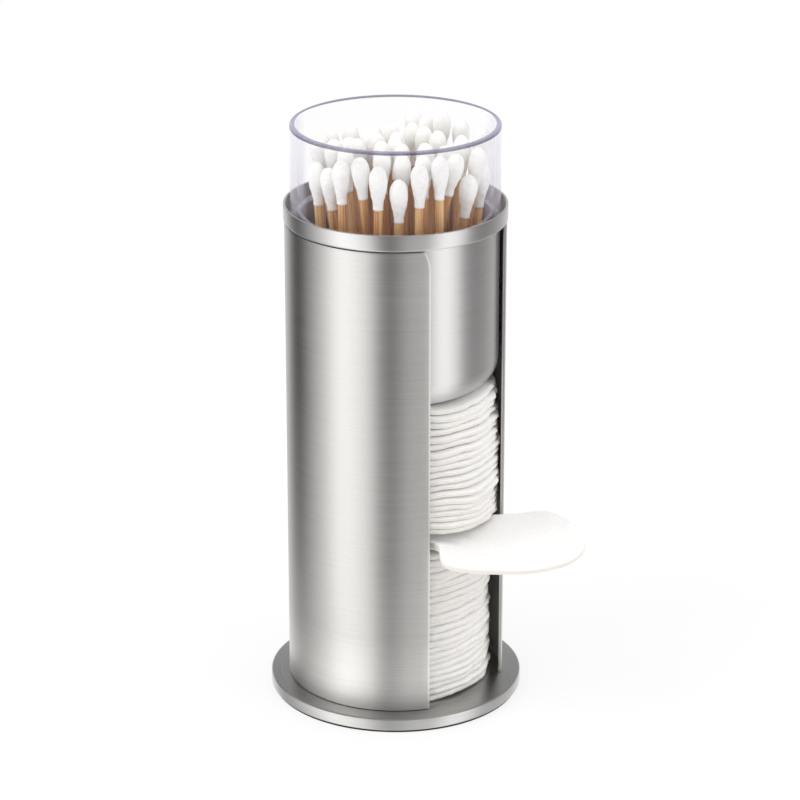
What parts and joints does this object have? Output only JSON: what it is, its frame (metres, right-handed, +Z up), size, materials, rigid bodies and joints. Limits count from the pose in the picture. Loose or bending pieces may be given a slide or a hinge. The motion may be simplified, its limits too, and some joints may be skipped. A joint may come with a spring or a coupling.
{
  "type": "cotton pad holder",
  "caption": "Slotted steel tube on a round foot that dispenses stacked cotton pads, with a lift-out steel cup and clear tumbler of cotton swabs in its top.",
  "frame": {"origin": "centre of the flat underside that the holder stands on, on the axis of its tube", "axes": "+Z up along the tube, slot facing -Y, +X to the right when facing the slot"},
  "size_m": [0.076, 0.1025, 0.1768],
  "materials": {
    "brushed_steel": "stainless steel, brushed round the tube",
    "brushed_steel_cup": "stainless steel, finely brushed round the cup",
    "foam_grip": "black closed-cell foam",
    "clear_plastic": "clear moulded plastic with a faint lavender tint",
    "bamboo": "plain unpainted bamboo",
    "swab_cotton": "wound white cotton",
    "pad_cotton": "pressed white cotton fleece"
  },
  "bodies": {
    "root": {"foot_plate": "brushed_steel", "foot_grip": "foam_grip", "tube": "brushed_steel", "steel_cup": "brushed_steel_cup", "clear_tumbler": "clear_plastic", "swab_sticks": "bamboo", "swab_tips_upper": "swab_cotton", "swab_tips_lower": "swab_cotton", "drawn_pad": "pad_cotton", "cotton_pad_01": "pad_cotton", "cotton_pad_02": "pad_cotton", "cotton_pad_03": "pad_cotton", "cotton_pad_04": "pad_cotton", "cotton_pad_05": "pad_cotton", "cotton_pad_06": "pad_cotton", "cotton_pad_07": "pad_cotton", "cotton_pad_08": "pad_cotton", "cotton_pad_09": "pad_cotton", "cotton_pad_10": "pad_cotton", "cotton_pad_11": "pad_cotton", "cotton_pad_12": "pad_cotton", "cotton_pad_13": "pad_cotton", "cotton_pad_14": "pad_cotton", "cotton_pad_15": "pad_cotton", "cotton_pad_16": "pad_cotton", "cotton_pad_17": "pad_cotton", "cotton_pad_18": "pad_cotton", "cotton_pad_19": "pad_cotton", "cotton_pad_20": "pad_cotton", "cotton_pad_21": "pad_cotton", "cotton_pad_22": "pad_cotton", "cotton_pad_23": "pad_cotton", "cotton_pad_24": "pad_cotton", "cotton_pad_25": "pad_cotton", "cotton_pad_26": "pad_cotton", "cotton_pad_27": "pad_cotton", "cotton_pad_28": "pad_cotton", "cotton_pad_29": "pad_cotton", "cotton_pad_30": "pad_cotton", "cotton_pad_31": "pad_cotton", "cotton_pad_32": "pad_cotton", "cotton_pad_33": "pad_cotton", "cotton_pad_34": "pad_cotton", "cotton_pad_35": "pad_cotton", "cotton_pad_36": "pad_cotton", "cotton_pad_37": "pad_cotton", "cotton_pad_38": "pad_cotton", "cotton_pad_39": "pad_cotton", "cotton_pad_40": "pad_cotton", "cotton_pad_41": "pad_cotton", "cotton_pad_42": "pad_cotton", "cotton_pad_43": "pad_cotton"}
  },
  "joints": []
}
